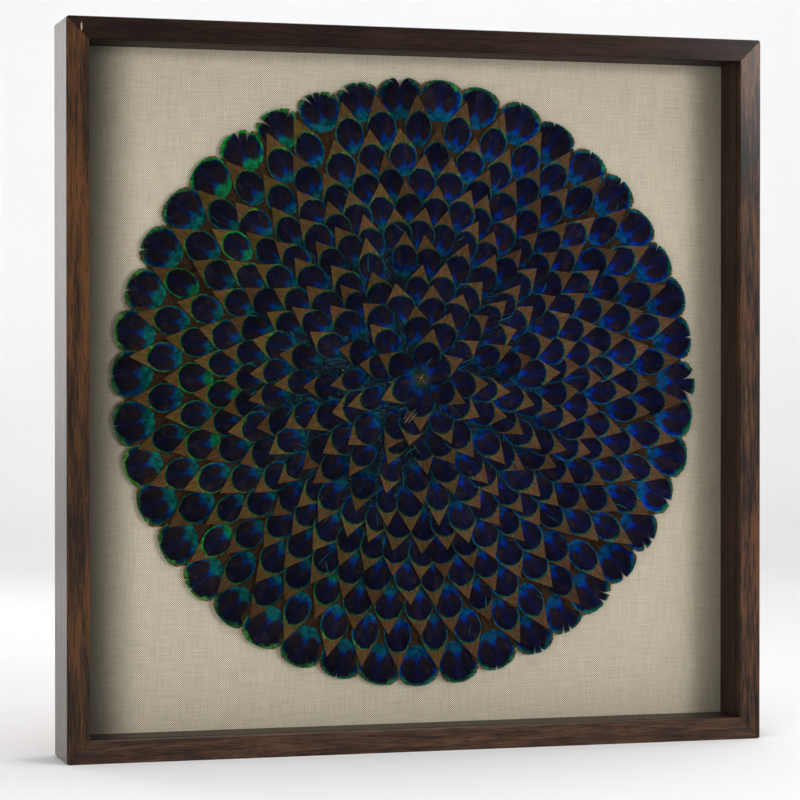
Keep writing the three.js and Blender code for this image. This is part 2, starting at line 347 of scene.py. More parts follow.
# where the outer feathers have parted: degrees clockwise from the top, opening in mm, share of the barb
partings = [
    (22, 1.8, 0.3), (30, 1.6, 0.34), (39, 2.2, 0.36), (47.5, 2.6, 0.34), (62, 1.6, 0.3), (81, 2.4, 0.42),
    (88.5, 6.0, 0.62), (93, 5.0, 0.55), (114.3, 4.4, 0.52), (122.4, 3.2, 0.44), (124.4, 2.8, 0.36),
    (131.4, 3.8, 0.48), (135.8, 2.6, 0.42), (137.6, 2.8, 0.44), (146.4, 2.4, 0.48), (147.9, 2.6, 0.52),
    (152.8, 2.2, 0.44), (154.4, 2.4, 0.48), (163, 2.6, 0.42), (195, 2.0, 0.34), (228, 1.8, 0.36),
    (230, 1.6, 0.3), (232, 1.8, 0.34), (243, 2.0, 0.32), (262, 2.0, 0.36), (271, 2.2, 0.36), (287, 1.8, 0.3),
    (295, 2.0, 0.36), (323.8, 4.2, 0.5), (325.8, 3.8, 0.56), (328.6, 3.6, 0.52), (333, 2.0, 0.4),
    (335, 2.6, 0.5), (336.6, 2.2, 0.46), (338.2, 3.2, 0.6), (339.8, 2.6, 0.55), (341.4, 3.0, 0.56),
    (343.6, 2.4, 0.5), (346.2, 3.6, 0.44), (349.3, 3.4, 0.4), (351.3, 2.4, 0.34), (356.4, 1.6, 0.4),
    (357.9, 8.5, 0.62),
]

# how barbs lie over one another: shares of a barb at its edge and root; then, in mm, over the shaft,
# in height, and under the next feather
barbLap = {"edge": 0.5, "root": 1.2, "shaft": 0.18, "step": 0.09, "unevenness": 0.06, "under": 4.4}
# how a barb bends from its root to its end, and how ragged the lower barbs are
barbCurve = {"rootSpread": 0.9, "across": 0.4, "along": 0.55, "arch": 0.16, "lowerFray": 0.12}


def scatter(ring, feather, channel):
    # repeatable scatter between -0.5 and 0.5, the same as the solids use
    wave = math.sin(ring * 127.1 + feather * 311.7 + channel * 74.7) * 4375.85
    return wave - math.floor(wave) - 0.5


def lowerEdge(shape, along, start, width):
    # the lower barbs spread from the eye's side until they reach a little under the next feather
    space = shape["halfPitch"] * (1 + along / shape["eye"]) + barbLap["under"]
    share = min(max((start - along) / 6.0, 0), 1)
    share = share * share * (3 - 2 * share)
    return width + (space - width) * share


def pointedEdge(shape, along):
    # half width of a blade whose tip is cut to a point: circle, then straight cuts tangent to it
    rim, tip = shape["rim"], shape["tip"]
    touch = rim * rim / tip
    touchWidth = math.sqrt(rim * rim - touch * touch)
    if along >= touch:
        return touchWidth * (tip - along) / (tip - touch)
    width = math.sqrt(rim * rim - max(along, -3) ** 2)
    return width if along >= -3 else lowerEdge(shape, along, -3, width)


def roundedEdge(shape, along):
    # half width of an outer blade, trimmed round: a broad arc, then the lower barbs
    wide, shoulder = shape["rim"], shape["shoulder"]
    if along < shoulder:
        return lowerEdge(shape, along, shoulder, wide)
    share = min((along - shoulder) / (shape["tip"] - shoulder), 1)
    return wide * math.sqrt(max(1 - share ** shape["roundness"], 0))


def outlineOf(shape, edge):
    # right half of the outline from the stem corner to the tip, spaced evenly along its length
    heights = np.linspace(0, 1, 400)
    along = shape["stemEnd"] + (shape["tip"] - shape["stemEnd"]) * np.sin(heights * math.pi / 2)
    across = np.array([edge(shape, value) for value in along])
    steps = np.hypot(np.diff(across), np.diff(along))
    run = np.concatenate([[0], np.cumsum(steps)])
    return (run / run[-1], across, along), run[-1]


def makeBladeTemplate(name, shape):
    # a grid whose columns are barbs: cut apart along every barb so that each can lie by itself
    deselectAll()
    bpy.ops.mesh.primitive_grid_add(x_subdivisions=shape["columns"], y_subdivisions=shape["rows"], size=2)
    blade = bpy.context.object
    blade.name = name
    mesh = blade.data
    bpy.ops.object.mode_set(mode="EDIT")
    bpy.ops.mesh.select_mode(type="EDGE")
    bpy.ops.mesh.select_all(action="DESELECT")
    bpy.ops.object.mode_set(mode="OBJECT")
    for edge in mesh.edges:
        first, second = (mesh.vertices[i].co for i in edge.vertices)
        edge.select = abs(first.x - second.x) < 1e-6 and abs(first.x) < 0.999
    bpy.ops.object.mode_set(mode="EDIT")
    bpy.ops.mesh.edge_split(type="EDGE")
    bpy.ops.object.mode_set(mode="OBJECT")
    return blade


def bladeGrid(blade, shape):
    # for every vertex: place across (-1 to 1), place along its barb (0 to 1), and its barb's number
    mesh = blade.data
    points = np.empty(len(mesh.vertices) * 3)
    mesh.vertices.foreach_get("co", points)
    points = points.reshape(-1, 3)
    barb = np.zeros(len(points), int)
    for face in mesh.polygons:
        column = int((face.center.x + 1) / 2 * shape["columns"])
        for vertex in face.vertices:
            barb[vertex] = column
    return points[:, 0], (points[:, 1] + 1) / 2, barb


def bladePoints(shape, outline, grid, draw, slits):
    # where each vertex of one blade lies, in mm: across, along, and height above the blade's plane
    across, out, barb = grid
    run, edgeAcross, edgeAlong = outline
    columns, fray = shape["columns"], shape["fray"]
    side = np.where(barb >= columns / 2, 1.0, -1.0)
    barbMiddle = (barb + 0.5) / columns * 2 - 1
    # every barb is a little wider than its share, so that it lies over the edge of the next
    inBarb = (across + 1) / 2 * columns - barb
    spread = across + (inBarb - 0.5) * barbLap["edge"] / columns
    sideLength = shape["sideLength"]
    for middle, opening, depth in slits:
        away = np.abs(barbMiddle - middle)
        reach = max(5.0, 1.4 * opening)
        pushed = np.sign(barbMiddle - middle) * opening / 2 / sideLength
        pushed = pushed * np.exp(-away * sideLength / reach)
        spread += pushed * np.clip((out - 1 + depth) / depth, 0, 1)
    share = 1 - np.clip(np.abs(spread), 0, 1)
    endX = np.interp(share, run, edgeAcross) * np.sign(spread)
    endY = np.interp(share, run, edgeAlong)
    # the roots cross the shaft and one another a little, so that no gap opens along it
    rootX = -side * barbLap["shaft"]
    rootShare = np.abs(across + (inBarb - 0.5) * barbLap["root"] / columns)
    rootY = shape["root"] + (shape["stemEnd"] - shape["root"]) * rootShare ** barbCurve["rootSpread"]
    lower = np.clip((np.abs(across) - 0.5) * 3, 0, 1)
    reach = np.hypot(endX, endY - rootY)
    bendX = endX * barbCurve["across"]
    bendY = rootY + barbCurve["along"] * (endY - rootY) + barbCurve["arch"] * reach * (1 - np.abs(across))
    # barbs of unequal length end at different places along the same curve
    out = out * (1 + (fray + barbCurve["lowerFray"] * lower) * (draw(columns)[barb] - 0.5))
    x = (1 - out) ** 2 * rootX + 2 * out * (1 - out) * bendX + out * out * endX
    y = (1 - out) ** 2 * rootY + 2 * out * (1 - out) * bendY + out * out * endY
    # one edge of every barb stands a hair above the next, as overlapping barbs do
    z = (inBarb - 0.5) * barbLap["step"] * side + (draw(columns)[barb] - 0.5) * barbLap["unevenness"] * out
    return x, y, z


def partingsOf(angle, reach, outline, shape):
    # the listed partings that fall on the feather at this angle, as slits: place across, opening, depth
    run, edgeAcross, edgeAlong = outline
    top = edgeAlong > shape["partingFrom"]
    found = []
    for degrees, opening, depth in partings:
        turn = (math.radians(degrees) - angle + math.pi) % (2 * math.pi) - math.pi
        offset = reach * math.sin(turn)
        if abs(turn) < 0.5 and abs(offset) < shape["partingReach"]:
            share = np.interp(-abs(offset), -edgeAcross[top], run[top])
            found.append((math.copysign(1 - share, offset), opening * shape["partingScale"], depth))
    return found


def layRing(ring, templates, drawSeed):
    # copies the blade once for every feather of a ring, lays each in its place and joins them
    count = rosette["counts"][ring]
    eye = rosette["eyeRadii"][ring]
    outermost = ring == len(rosette["counts"]) - 1
    blade, shape, grid = templates["rounded" if outermost else "pointed"]
    pitch = 2 * math.pi / count
    shape = dict(shape, halfPitch=eye * pitch / 2, eye=eye, stemEnd=max(shape["stemEnd"], 1.5 - eye))
    outline, shape["sideLength"] = outlineOf(shape, roundedEdge if outermost else pointedEdge)
    wildness = rosette["wildness"][ring]
    stray = wildness - rosette["tame"]
    share = eye / rosette["radius"]
    centreX = rosette["flower"][0] + (rosette["centre"][0] - rosette["flower"][0]) * share
    centreZ = rosette["flower"][1] + (rosette["centre"][1] - rosette["flower"][1]) * share
    stagger = 0 if (len(rosette["counts"]) - 1 - ring) % 2 == 0 else -pitch / 2
    tipReach = rosette["outerReach"] if outermost else rosette["eyeRadii"][ring + 1] - eye + 1
    generator = np.random.default_rng(drawSeed)
    draw = generator.random
    copies = []
    for i in range(count):
        even = math.radians(rosette["firstAngle"]) + stagger + i * pitch
        drift = -math.radians(rosette["drift"]) * (1 - math.cos(even - math.radians(rosette["driftStart"])))
        angle = even + drift + scatter(ring, i, 1) * rosette["angleScatter"] * pitch
        angle += (draw() - 0.5) * rosette["strayAngle"] * pitch * stray
        shift = scatter(ring, i, 2) * rosette["radiusScatter"]
        outward = (draw() - 0.5) * rosette["strayRadius"] * stray
        slits = [(draw() - 0.5, shape["opening"] * (0.3 + draw()), 0.14 + 0.16 * draw())
                 for _ in range(int(draw() * shape["slits"]))]
        if outermost:
            slits += partingsOf(angle, eye + tipReach, outline, shape)
        x, y, z = bladePoints(shape, outline, grid, draw, slits)
        sizeScale = 1 + (draw() - 0.5) * rosette["straySize"] * wildness
        alongScale = (tipReach + shift + (draw() - 0.5) * rosette["strayReach"] * stray) / shape["tip"]
        across = x * sizeScale
        along = np.where(y > 0, y * alongScale, y * sizeScale)
        skew = math.radians((draw() - 0.5) * rosette["straySkew"] * wildness)
        turnedX = across * math.cos(skew) + along * math.sin(skew) * 0.6
        turnedY = along * math.cos(skew) - across * math.sin(skew)
        roll = math.radians(rosette["roll"] + (draw() - 0.5) * rosette["strayRoll"])
        radial = eye + turnedY + outward
        # feathers rise from the stem to the tip, tilt to one side, and curl up or down at the tip
        height = rosette["stemHeight"] + rosette["lift"] + (turnedY + rosette["stemReach"]) * rosette["slope"]
        curl = rosette["curl"] * np.clip(turnedY / 20, 0, 1.4) ** 2 * (draw() - 0.35)
        height = height + turnedX * math.tan(roll) + z + curl
        height = np.maximum(height, rosette["lowest"])
        worldX = centreX + radial * math.sin(angle) + turnedX * math.cos(angle)
        worldZ = centreZ + radial * math.cos(angle) - turnedX * math.sin(angle)
        worldY = linenFront / mm - height
        copyOf = blade.copy()
        copyOf.data = blade.data.copy()
        points = np.stack([worldX, worldY, worldZ], 1) * mm
        copyOf.data.vertices.foreach_set("co", points.ravel())
        writeLayers(copyOf.data, x, y, grid, outermost, draw)
        scene.collection.objects.link(copyOf)
        copies.append(copyOf)
    deselectAll()
    for copyOf in copies:
        copyOf.select_set(True)
    bpy.context.view_layer.objects.active = copies[0]
    bpy.ops.object.join()
    piece = bpy.context.object
    piece.name = f"feathers_{ring + 1:02d}"
    return piece


def writeLayers(mesh, x, y, grid, outermost, draw):
    # where each corner lies on the eye, where on its barb, and the feather's own tone
    corners = np.empty(len(mesh.loops), int)
    mesh.loops.foreach_get("vertex_index", corners)
    eyePlace = np.stack([x, y], 1) / eyeMap + 0.5
    across, out, barb = grid
    barbRun = np.stack([(across + 1) / 2, out], 1)
    for name, values in (("eyePlace", eyePlace), ("barbRun", barbRun)):
        layer = mesh.uv_layers.get(name) or mesh.uv_layers.new(name=name)
        layer.data.foreach_set("uv", values[corners].ravel())
    tone = mesh.attributes.new("featherTone", "FLOAT_COLOR", "POINT")
    own = np.array([draw(), draw(), draw(), 1.0])
    tone.data.foreach_set("color", np.tile(own, len(mesh.vertices)))
    kind = mesh.attributes.new("outerEye", "FLOAT", "POINT")
    kind.data.foreach_set("value", np.full(len(mesh.vertices), float(outermost)))


# colours of the eye left and right on the rosette, where the light meets the barbs differently
eyeColours = {
    "pupil": ((20, 20, 30), (20, 19, 35)), "lobe": ((33, 27, 31), (33, 27, 34)),
    "core": ((16, 24, 50), (17, 26, 66)), "flare": ((9, 46, 96), (8, 36, 128)),
    "base": ((11, 82, 76), (7, 64, 102)), "sideBlue": ((7, 44, 76), (8, 40, 112)),
    "sideTeal": ((10, 74, 64), (8, 72, 94)), "rim": ((58, 108, 34), (27, 88, 62)),
    "tan": ((86, 73, 37), (84, 68, 48)), "tanWarm": ((80, 56, 40), (84, 60, 45)),
    # the lower barbs' dull brown is partly their own colour, partly painted shade where the next feather lies
    # over them
    "bronzeInShade": (52, 39, 28), "innerBarbs": (26, 29, 38), "deepBand": (11, 20, 40), "middle": (48, 48, 28),
    "vivid": (14, 118, 40), "blotch": (44, 35, 42), "shaft": (80, 66, 46),
}
# how far the vivid green of a few feathers takes over these colours
vividShares = {"rim": 1.0, "sideTeal": 0.85, "base": 0.5}
# mm from the eye's middle, inner feathers and what the outermost ones add
eyeShape = {
    "darkHalf": (10.3, 3.4), "darkTop": (12.0, 1.6), "darkLow": (8.6, 2.6), "bandHalf": (12.9, 5.7),
    "bandTop": (13.0, 2.8), "bandLow": (17.5, 3.0), "flareTip": (-3.2, -0.8),
}
# how much streaks and soft patches bend the outlines of the dark eye and of the bands
outlineBend = {"dark": (0.06, 0.5), "band": (0.05, 0.16)}
# the blue flare between the lobes: how far it leans and its tip wanders, its slope, its streaks
flareShape = {"lean": 2.4, "tip": 3.6, "slope": -1.55, "streaks": 7.0}
# where each part fades in, from the first value to the second: mm up or across the eye, shares of an
# outline or tone, or metres from the rosette's middle
eyeEdges = {
    "rightward": (-0.22, 0.2), "vividTone": (0.82, 0.9), "vividPlace": (0.02, -0.12), "tan": (1.0, 6.0),
    "innerBarbs": (0.12, 0.21), "tealStreaks": (0.0, 0.16), "dark": (-1.0, 1.0), "band": (1.02, 0.975),
    "overEye": (5.0, 9.0), "underEye": (-5.0, -11.0), "sideTeal": (0.87, 0.96), "bandBase": (-8.0, -15.0),
    "rim": (0.95, 0.985), "rimHeight": (-14.0, 4.0), "bandDistance": (0.07, 0.22), "patches": (0.12, -0.12),
    "lobes": (5.0, -7.0), "core": (6.0, 0.4), "blotches": (0.5, 0.72), "flare": (-1.6, 4.2),
    "flareBase": (-7.0, -13.0), "shaft": (0.5, 0.3), "shaftHeight": (-12.0, -16.0), "crowded": (0.011, 0.003),
}
# factor and base of what follows a feather's own tone, its streaks or its place
eyeGains = {
    "offset": (1.8, -0.9), "softness": (0.012, 0.03), "tanWarmth": (0.65, 0.15), "rim": (0.55, 0.4),
    "bandDistance": (0.4, 0.6), "patches": (0.75, 0.5), "core": (1.8, 0.58), "fine": (1.5, 1.0),
    "tone": (0.5, 0.76), "outer": (0.12, 1.0),
}
# how strongly each marking covers what is under it
eyeCover = {"tealStreaks": 0.55, "deepBand": 0.75, "blotches": 0.75, "shaft": 0.3, "crowded": 0.85}


class FeatherBench(NodeBench):
    # the feathers' shader, with the values that the parts of the eye share
    def __init__(self):
        super().__init__("eyeFeather")
        tone = self.add("ShaderNodeAttribute", attribute_name="featherTone").outputs["Color"]
        tones = self.add("ShaderNodeSeparateColor", {"Color": tone}).outputs
        self.toneA, self.toneB, self.toneC = tones[0], tones[1], tones[2]
        self.outer = self.add("ShaderNodeAttribute", attribute_name="outerEye").outputs["Fac"]
        self.run = self.separate(self.add("ShaderNodeUVMap", uv_map="barbRun").outputs[0])
        place = self.separate(self.add("ShaderNodeUVMap", uv_map="eyePlace").outputs[0])
        self.x = self.calc("MULTIPLY", self.calc("SUBTRACT", place["X"], 0.5), eyeMap)
        self.y = self.calc("MULTIPLY", self.calc("SUBTRACT", place["Y"], 0.5), eyeMap)
        self.side = self.calc("ABSOLUTE", self.x)
        self.rise = self.calc("MAXIMUM", self.y, 0.0)
        self.drop = self.calc("MAXIMUM", self.calc("MULTIPLY", self.y, -1), 0.0)
        self.acrossRosette = self.separate(self.place())["X"]
        flower = (rosette["flower"][0] * mm, 0.0, rosette["flower"][1] * mm)
        flat = self.vector("MULTIPLY", self.vector("SUBTRACT", self.place(), flower), (1, 0, 1))
        self.distance = self.vector("LENGTH", flat)
        # coarse streaks draw the edges out, fine ones only shade
        self.streak, self.fine = self.streaks(70.0, 2.0), self.streaks(240.0, 5.0)
        # soft patches that bend the outlines and break up the bands, different on every feather
        patches = self.combine(self.calc("MULTIPLY", place["X"], 15.0),
                               self.calc("MULTIPLY", place["Y"], 15.0), self.calc("MULTIPLY", self.toneB, 40.0))
        self.patch = self.calc("SUBTRACT", self.noise(patches, 1.0, 2.0, 0.6), 0.5)
        self.size = self.ownSizes()
        self.colours = self.ownColours()

    def edge(self, name, value):
        return self.ease(value, *eyeEdges[name])

    def gain(self, name, value):
        return self.calc("MULTIPLY_ADD", value, *eyeGains[name])

    def cover(self, name, value):
        return self.calc("MULTIPLY", value, eyeCover[name])

    def streaks(self, count, length):
        # noise drawn out along the barbs
        stretched = self.combine(self.calc("MULTIPLY", self.run["X"], count),
                                 self.calc("MULTIPLY", self.run["Y"], length),
                                 self.calc("MULTIPLY", self.toneC, 60.0))
        return self.calc("SUBTRACT", self.noise(stretched, 1.0, 2.0, 0.7), 0.5)

    def ownSizes(self):
        size = {key: self.calc("MULTIPLY_ADD", self.outer, more, inner)
                for key, (inner, more) in eyeShape.items()}
        # what every feather's own tone adds, in mm, around a middle value
        for key, tone, more, middle in (("darkLow", self.toneC, 5.5, 0.0), ("bandHalf", self.toneB, 1.2, 1.0),
                                        ("darkHalf", self.toneB, 1.8, 0.6)):
            size[key] = self.calc("MULTIPLY_ADD", tone, more, self.calc("SUBTRACT", size[key], middle))
        return size

    def ownColours(self):
        rightward = self.edge("rightward", self.acrossRosette)
        colours = {}
        for key, value in eyeColours.items():
            if isinstance(value[0], tuple):
                colours[key] = self.blend(rightward, shade(*value[0]), shade(*value[1]))
            else:
                colours[key] = shade(*value)
        # a few feathers on the left have vivid green bands
        vivid = self.calc("MULTIPLY", self.edge("vividTone", self.toneC),
                          self.edge("vividPlace", self.acrossRosette))
        for key, share in vividShares.items():
            colours[key] = self.blend(self.calc("MULTIPLY", vivid, share), colours[key], colours["vivid"])
        return colours

    def roundness(self, part, across):
        # distance from the middle as a share of an egg outline, 1 on it
        jag, warp = outlineBend[part]
        wide = self.calc("DIVIDE", across, self.size[part + "Half"])
        high = self.calc("ADD", self.calc("DIVIDE", self.rise, self.size[part + "Top"]),
                         self.calc("DIVIDE", self.drop, self.size[part + "Low"]))
        square = self.calc("MULTIPLY_ADD", wide, wide, self.calc("MULTIPLY", high, high))
        jagged = self.calc("MULTIPLY_ADD", self.streak, jag, self.calc("SQRT", square))
        return self.calc("MULTIPLY_ADD", self.patch, warp, jagged)

    def barbs(self):
        # outside the eye: pale where the tip is cut to a point, dull beside and below, where the lower barbs'
        # own brownish colour is darkened as painted shade under the next feather
        colours = self.colours
        tan = self.blend(self.gain("tanWarmth", self.toneB), colours["tan"], colours["tanWarm"])
        tealStreaks = self.cover("tealStreaks", self.edge("tealStreaks", self.streak))
        inner = self.blend(tealStreaks, colours["innerBarbs"], colours["base"])
        bronzeInShade = self.blend(self.edge("innerBarbs", self.distance), inner, colours["bronzeInShade"])
        return self.blend(self.edge("tan", self.y), bronzeInShade, tan)

    def bands(self, ring):
        # blue inside, teal outside, a thin green rim; broad and teal under the eye, thin over it
        colours = self.colours
        colour = self.blend(self.cover("deepBand", self.toneC), colours["sideBlue"], colours["deepBand"])
        colour = self.blend(self.edge("sideTeal", ring), colour, colours["sideTeal"])
        base = self.blend(self.edge("bandBase", self.y), colours["flare"], colours["base"])
        colour = self.blend(self.edge("underEye", self.y), colour, base)
        rim = self.calc("MAXIMUM", self.edge("rim", ring), self.edge("overEye", self.y))
        rim = self.calc("MULTIPLY", rim, self.edge("rimHeight", self.y))
        rim = self.calc("MULTIPLY", rim, self.gain("rim", self.toneA))
        colour = self.blend(rim, colour, colours["rim"])
        nearGain = self.gain("bandDistance", self.edge("bandDistance", self.distance))
        patchGain = self.gain("patches", self.edge("patches", self.patch))
        return self.dim(colour, self.calc("MULTIPLY", nearGain, patchGain))

    def darkEye(self):
        # browner in its two lobes and bluer up its middle
        colour = self.blend(self.edge("lobes", self.y), self.colours["pupil"], self.colours["lobe"])
        core = self.calc("MULTIPLY", self.edge("core", self.side), self.gain("core", self.streak), clamp=True)
        colour = self.blend(core, colour, self.colours["core"])
        blotches = self.edge("blotches", self.noise(self.place(scale=(110, 110, 110)), 1.0, 3.0))
        return self.blend(self.cover("blotches", blotches), colour, self.colours["blotch"])

    def addFlare(self, colour, dark):
        # the blue flare that rises between the lobes
        leaning, wandering = (self.calc("SUBTRACT", tone, 0.5) for tone in (self.toneC, self.toneB))
        lean = self.calc("MULTIPLY_ADD", leaning, flareShape["lean"], self.x)
        tip = self.calc("MULTIPLY_ADD", wandering, flareShape["tip"], self.size["flareTip"])
        line = self.calc("MULTIPLY_ADD", self.calc("ABSOLUTE", lean), flareShape["slope"], tip)
        depth = self.calc("SUBTRACT", line, self.y)
        depth = self.calc("MULTIPLY_ADD", self.streak, flareShape["streaks"], depth)
        flare = self.blend(self.edge("flareBase", self.y), self.colours["flare"], self.colours["base"])
        return self.blend(self.calc("MULTIPLY", self.edge("flare", depth), dark), colour, flare)


def featherFinish():
    bench = FeatherBench()
    darkRing = bench.roundness("dark", bench.calc("ADD", bench.x, bench.gain("offset", bench.toneA)))
    bandRing = bench.roundness("band", bench.x)
    darkDepth = bench.calc("SUBTRACT", 1.0, darkRing)
    darkDepth = bench.calc("DIVIDE", darkDepth, bench.gain("softness", bench.drop))
    dark = bench.edge("dark", bench.calc("MULTIPLY_ADD", bench.streak, 0.8, darkDepth))
    colour = bench.blend(bench.edge("band", bandRing), bench.barbs(), bench.bands(bandRing))
    colour = bench.blend(dark, colour, bench.darkEye())
    colour = bench.addFlare(colour, dark)
    # the shaft shows faintly below the eye
    shaft = bench.calc("MULTIPLY", bench.edge("shaft", bench.side), bench.edge("shaftHeight", bench.y))
    colour = bench.blend(bench.cover("shaft", shaft), colour, bench.colours["shaft"])
    # the crowded stems in the middle of the rosette are dull
    crowded = bench.cover("crowded", bench.edge("crowded", bench.distance))
    colour = bench.blend(crowded, colour, bench.colours["middle"])
    # light and dark barbs, and each feather's own brightness
    gain = bench.calc("MULTIPLY_ADD", bench.streak, 1.5, bench.gain("fine", bench.fine))
    gain = bench.calc("MULTIPLY", gain, bench.gain("tone", bench.toneA))
    gain = bench.calc("MULTIPLY", gain, bench.gain("outer", bench.outer))
    bench.bump(bench.calc("ADD", bench.calc("MULTIPLY", bench.fine, 2.0), bench.streak), 0.3, 0.2 * mm)
    return bench.finish(Base_Color=bench.dim(colour, gain), Roughness=0.6, Specular_IOR_Level=0.0)


def makeFeathers():
    templates = {}
    for kind, shape in blades.items():
        blade = makeBladeTemplate("blade_" + kind, shape)
        templates[kind] = (blade, shape, bladeGrid(blade, shape))
    material = featherFinish()
    for ring in range(len(rosette["counts"])):
        piece = layRing(ring, templates, 40 + ring)
        giveMaterial(piece, material)
        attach(piece, "root")
        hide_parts(f"feather_ring_{ring + 1:02d}")
        print("ring", ring + 1, "laid,", len(piece.data.polygons), "faces")
    for blade, *_ in templates.values():
        bpy.data.objects.remove(blade)


makeFeathers()


# loose barbs over the feathers and cut quill ends, in mm from the rosette's middle flower

looseBarbs = {
    "count": 84, "seed": 5, "length": (7, 18), "width": (0.45, 0.95), "curl": 0.5, "sway": 0.45,
    "nearest": 16, "spread": 224, "crowding": 0.8, "colours": ((10, 100, 100), (24, 20, 34)), "patches": 40,
}
quillLook = {"curl": 0.05, "colours": ((150, 132, 96), (104, 84, 58)), "patches": 90}
quillEnds = [
    # across, up, degrees clockwise from up, length, width
    (-10.5, -32.0, 218, 15, 0.8), (-12.6, -32.6, 214, 13, 0.6), (-8.6, -33.6, 222, 12, 0.6),
    (-14.4, -31.0, 209, 9, 0.5), (0.4, 1.6, 20, 4.5, 1.1), (-1.2, -1.4, 205, 5.5, 0.9),
    (1.6, -2.2, 150, 4.0, 0.8), (-2.4, 1.0, 290, 4.0, 0.7), (25.0, 17.0, 70, 8, 0.5),
    (26.5, 15.2, 66, 7, 0.5),
]
# every strip's taper, crown and thickness in mm, and the dark tone of its fine grain
strip = {"taper": (0.12, 0.82, 0.6), "crown": 0.12, "thickness": 0.12, "grain": (14, 14, 18)}
# mm off the linen: at a feather's stem, clear of its barbs, past the last ring; and a ring's reach outwards
standOff = {"stem": 1.2, "clear": 0.55, "past": 2.6, "reach": 22}


def topHeight(radius):
    # how far a barb at this distance from the middle lies off the linen, just clear of the feathers
    for eye in rosette["eyeRadii"]:
        if radius < eye + standOff["reach"]:
            fromStem = radius - eye + rosette["stemReach"]
            return standOff["stem"] + fromStem * rosette["slope"] + standOff["clear"]
    return standOff["past"]


def makeSliver(name, across, up, turn, length, width, curl, lift):
    # a narrow strip, tapered at both ends and bent to one side
    deselectAll()
    bpy.ops.mesh.primitive_grid_add(x_subdivisions=2, y_subdivisions=10, size=2)
    sliver = bpy.context.object
    sliver.name = name
    start, extent, power = strip["taper"]
    for vertex in sliver.data.vertices:
        share = (vertex.co.y + 1) / 2
        taper = math.sin(math.pi * (start + extent * share)) ** power
        side = vertex.co.x * width / 2 * taper + curl * length * (share - 0.5) ** 2
        run = length * (share - 0.5)
        x = rosette["flower"][0] + across + side * math.cos(turn) + run * math.sin(turn)
        z = rosette["flower"][1] + up - side * math.sin(turn) + run * math.cos(turn)
        crown = strip["crown"] * (1 - vertex.co.x ** 2)
        vertex.co = (x * mm, linenFront - (lift + crown) * mm, z * mm)
    sliver.data.update()
    thickness = sliver.modifiers.new("body", "SOLIDIFY")
    thickness.thickness = strip["thickness"] * mm
    bpy.ops.object.modifier_apply(modifier="body")
    return sliver


def joinPieces(pieces, name, material):
    deselectAll()
    for piece in pieces:
        piece.select_set(True)
    bpy.context.view_layer.objects.active = pieces[0]
    bpy.ops.object.join()
    whole = bpy.context.object
    whole.name = name
    bpy.ops.object.shade_smooth_by_angle(angle=math.radians(40))
    giveMaterial(whole, material)
    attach(whole, "root")


def sliverFinish(name, look):
    bench = NodeBench(name)
    first, second = look["colours"]
    patches = bench.noise(bench.place(scale=[look["patches"]] * 3), 1.0, 3.0)
    fine = bench.noise(bench.place(scale=(1500, 1500, 1500)), 1.0, 2.0)
    colour = bench.blend(bench.ease(patches, 0.4, 0.6), shade(*first), shade(*second))
    colour = bench.blend(bench.calc("MULTIPLY", fine, 0.5), colour, shade(*strip["grain"]))
    bench.bump(fine, 0.2, 0.1 * mm)
    return bench.finish(Base_Color=colour, Roughness=0.6, Specular_IOR_Level=0.1)


def makeLooseBarbs():
    generator = np.random.default_rng(looseBarbs["seed"])
    barbs = []
    for number in range(looseBarbs["count"]):
        radius = looseBarbs["nearest"] + looseBarbs["spread"] * generator.random() ** looseBarbs["crowding"]
        place = 2 * math.pi * generator.random()
        length = generator.uniform(*looseBarbs["length"])
        turn = place + generator.normal(0, looseBarbs["sway"])
        width = generator.uniform(*looseBarbs["width"])
        curl = generator.uniform(-1, 1) * looseBarbs["curl"]
        barbs.append(makeSliver(f"loose_{number}", radius * math.sin(place), radius * math.cos(place),
                                turn, length, width, curl, topHeight(radius + length / 2)))
    joinPieces(barbs, "loose_barbs", sliverFinish("looseBarb", looseBarbs))


def makeQuillEnds():
    ends = []
    for number, (across, up, turn, length, width) in enumerate(quillEnds):
        lift = topHeight(math.hypot(across, up) + length / 2)
        ends.append(makeSliver(f"quill_{number}", across, up, math.radians(turn), length, width,
                               quillLook["curl"], lift))
    joinPieces(ends, "quill_ends", sliverFinish("paleQuill", quillLook))


makeLooseBarbs()
makeQuillEnds()
print("loose barbs and quill ends laid")


# boards and fittings

backBoard = {"dark": (150, 116, 78), "light": (184, 150, 108), "relief": 0.25, "roughness": 0.72}
mountBoard = {"dark": (214, 208, 196), "light": (232, 227, 216), "relief": 0.15, "roughness": 0.88}
steel = {"dark": (176, 174, 168), "light": (214, 212, 206), "relief": 0.12, "gloss": 0.24, "glossRange": 0.22}


def finishBoards():
    bench = NodeBench("plywoodBack")
    fibre = bench.noise(bench.place(scale=(6, 260, 260)), 1.0, 5.0, 0.7)
    cloud = bench.noise(bench.place(scale=(2, 9, 9)), 1.0, 3.0)
    tone = bench.calc("ADD", bench.calc("MULTIPLY", fibre, 0.5), bench.calc("MULTIPLY", cloud, 0.5))
    colour = bench.blend(bench.ease(tone, 0.35, 0.65), shade(*backBoard["dark"]), shade(*backBoard["light"]))
    bench.bump(fibre, backBoard["relief"], 0.3 * mm)
    giveMaterial(nodes["back_board"], bench.finish(Base_Color=colour, Roughness=backBoard["roughness"]))
    bench = NodeBench("mountBoard")
    fibre = bench.noise(bench.place(scale=(400, 400, 400)), 1.0, 4.0, 0.6)
    colour = bench.blend(fibre, shade(*mountBoard["dark"]), shade(*mountBoard["light"]))
    bench.bump(fibre, mountBoard["relief"], 0.2 * mm)
    giveMaterial(nodes["mount_board"], bench.finish(Base_Color=colour, Roughness=mountBoard["roughness"]))


